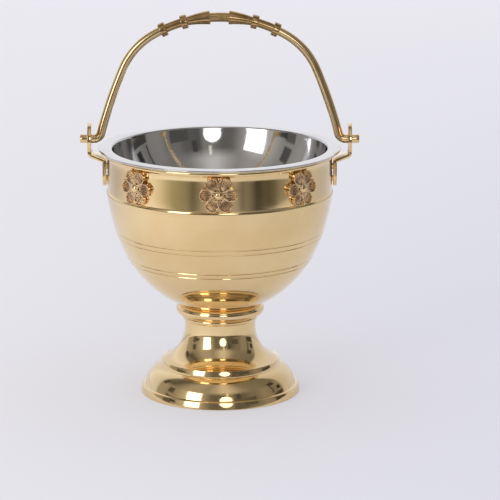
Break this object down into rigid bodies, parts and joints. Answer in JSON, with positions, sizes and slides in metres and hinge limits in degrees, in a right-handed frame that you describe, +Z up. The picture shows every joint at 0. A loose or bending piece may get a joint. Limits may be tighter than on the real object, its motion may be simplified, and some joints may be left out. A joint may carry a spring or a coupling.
{
  "type": "holy water bucket",
  "caption": "Footed brass bucket for holy water, with a loose steel liner bowl, cast rosettes round its band and a folding bail hung in two ears.",
  "frame": {"origin": "on the ground under the middle of the foot", "axes": "+Z up along the bowl's axis, +X through the right ear and the bail's right pin, the front with the middle rosette faces -Y"},
  "size_m": [0.141, 0.1226, 0.1964],
  "materials": {
    "spun_brass": "polished",
    "turned_brass": "polished",
    "rod_brass": "polished, a little toned",
    "cast_bronze": "cast, antiqued in the hollows",
    "liner_steel": "polished with fine spun lines",
    "bolt_steel": "plain bright steel"
  },
  "bodies": {
    "bucket": {"foot": "spun_brass", "collar": "turned_brass", "outer_bowl": "spun_brass", "ear_right": "turned_brass", "ear_left": "turned_brass", "ear_rivet_right_lower": "turned_brass", "ear_rivet_right_upper": "turned_brass", "ear_rivet_left_lower": "turned_brass", "ear_rivet_left_upper": "turned_brass", "rosette_front_left": "cast_bronze", "rosette_front_middle": "cast_bronze", "rosette_front_right": "cast_bronze", "rosette_back_right": "cast_bronze", "rosette_back_middle": "cast_bronze", "rosette_back_left": "cast_bronze", "rosette_pin_front_left": "turned_brass", "rosette_pin_front_middle": "turned_brass", "rosette_pin_front_right": "turned_brass", "rosette_pin_back_right": "turned_brass", "rosette_pin_back_middle": "turned_brass", "rosette_pin_back_left": "turned_brass", "bolt_washer_upper": "bolt_steel", "bolt_washer_lower": "bolt_steel", "bolt_nut": "bolt_steel", "centre_bolt": "bolt_steel"},
    "bail": {"bail_arm_right": "rod_brass", "bail_arm_left": "rod_brass", "bail_grip": "turned_brass"},
    "liner": {"liner": "liner_steel"}
  },
  "joints": [
    {"name": "bail_swing", "type": "hinge", "parent": "bucket", "child": "bail", "pos_m": [0, 0, 0.1311], "axis": [1, 0, 0], "range_deg": [-90, 90]},
    {"name": "liner_turn", "type": "hinge", "parent": "bucket", "child": "liner", "pos_m": [0, 0, 0.0799], "axis": [0, 0, 1], "continuous": true}
  ]
}
